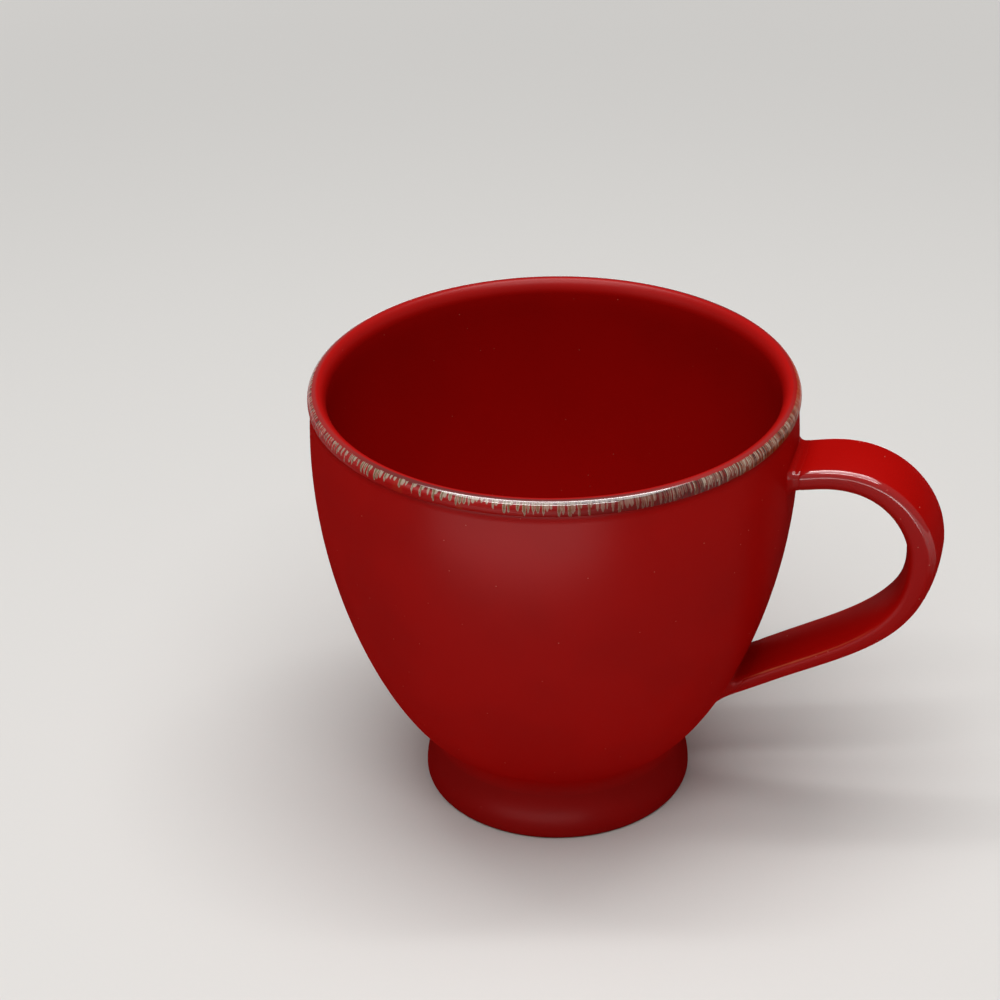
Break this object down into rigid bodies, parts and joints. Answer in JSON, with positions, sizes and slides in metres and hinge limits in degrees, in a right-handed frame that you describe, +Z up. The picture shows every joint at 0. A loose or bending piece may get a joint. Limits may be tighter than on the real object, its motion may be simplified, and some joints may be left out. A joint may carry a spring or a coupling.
{
  "type": "stoneware mug",
  "caption": "Footed stoneware mug: a round bowl with a rolled lip, a flared foot ring luted under it and a bent strap handle luted to the wall, in satin red glaze.",
  "frame": {"origin": "under the middle of the whole outline, on the plane that the foot ring stands on", "axes": "+X from the bowl towards the handle, +Y across the handle's strap, +Z up from the standing face to the lip"},
  "size_m": [0.1302, 0.1, 0.0947],
  "materials": {
    "bowl_glaze": "satin red glaze with fine specks; the lip's outer face is streaked grey, beige and brown",
    "foot_slip": "satin red glaze over slip",
    "foot_glaze": "satin red glaze, bare clay on the standing face",
    "handle_glaze": "satin red glaze, thinner and lighter along the edges",
    "handle_slip": "satin red glaze over slip"
  },
  "bodies": {
    "root": {"bowl": "bowl_glaze", "foot_lute": "foot_slip", "foot_ring": "foot_glaze", "handle": "handle_glaze", "upper_handle_lute": "handle_slip", "lower_handle_lute": "handle_slip"}
  },
  "joints": []
}
